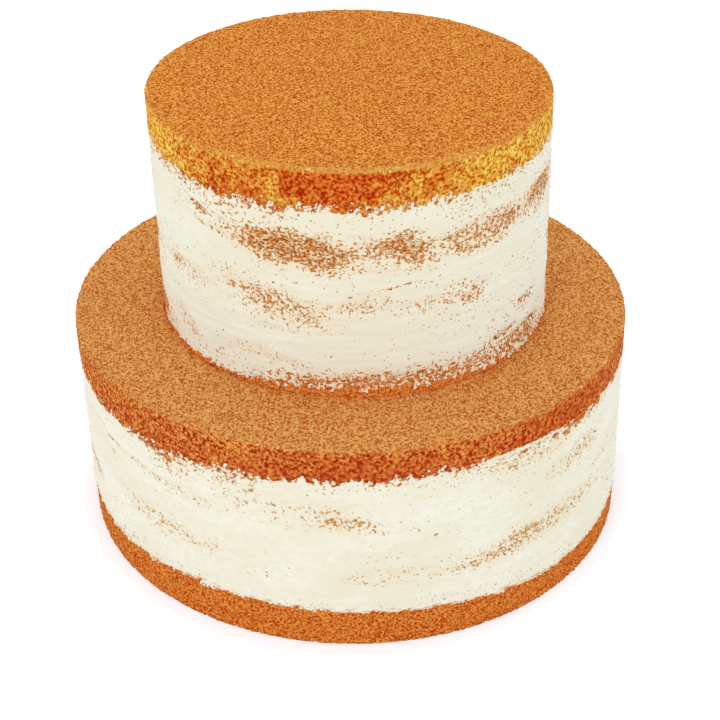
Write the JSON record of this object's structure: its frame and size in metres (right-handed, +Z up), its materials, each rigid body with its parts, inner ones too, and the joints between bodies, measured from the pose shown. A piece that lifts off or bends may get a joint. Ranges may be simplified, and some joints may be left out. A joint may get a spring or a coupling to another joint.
{
  "type": "layer cake",
  "caption": "Round tiered naked layer cake of golden sponge and pale cream, with a thin scraped coat of cream and bare browned sponge at each tier's top and foot.",
  "frame": {"origin": "middle of the lower tier's base, on the surface that the cake stands on", "axes": "+Z up along the cake's axis; the side shown at the front faces -Y, and +X is to its right"},
  "size_m": [0.2616, 0.2603, 0.2128],
  "materials": {
    "golden_sponge": "matte",
    "brown_sponge": "matte",
    "cream": "satin"
  },
  "bodies": {
    "root": {"lower_sponge_1": "brown_sponge", "lower_cream_1": "cream", "lower_sponge_2": "brown_sponge", "lower_cream_2": "cream", "lower_sponge_3": "brown_sponge", "lower_cream_3": "cream", "lower_sponge_4": "brown_sponge", "lower_cream_coat": "cream", "upper_sponge_1": "golden_sponge", "upper_cream_1": "cream", "upper_sponge_2": "golden_sponge", "upper_cream_2": "cream", "upper_sponge_3": "golden_sponge", "upper_cream_3": "cream", "upper_sponge_4": "golden_sponge", "upper_cream_coat": "cream"}
  },
  "joints": []
}
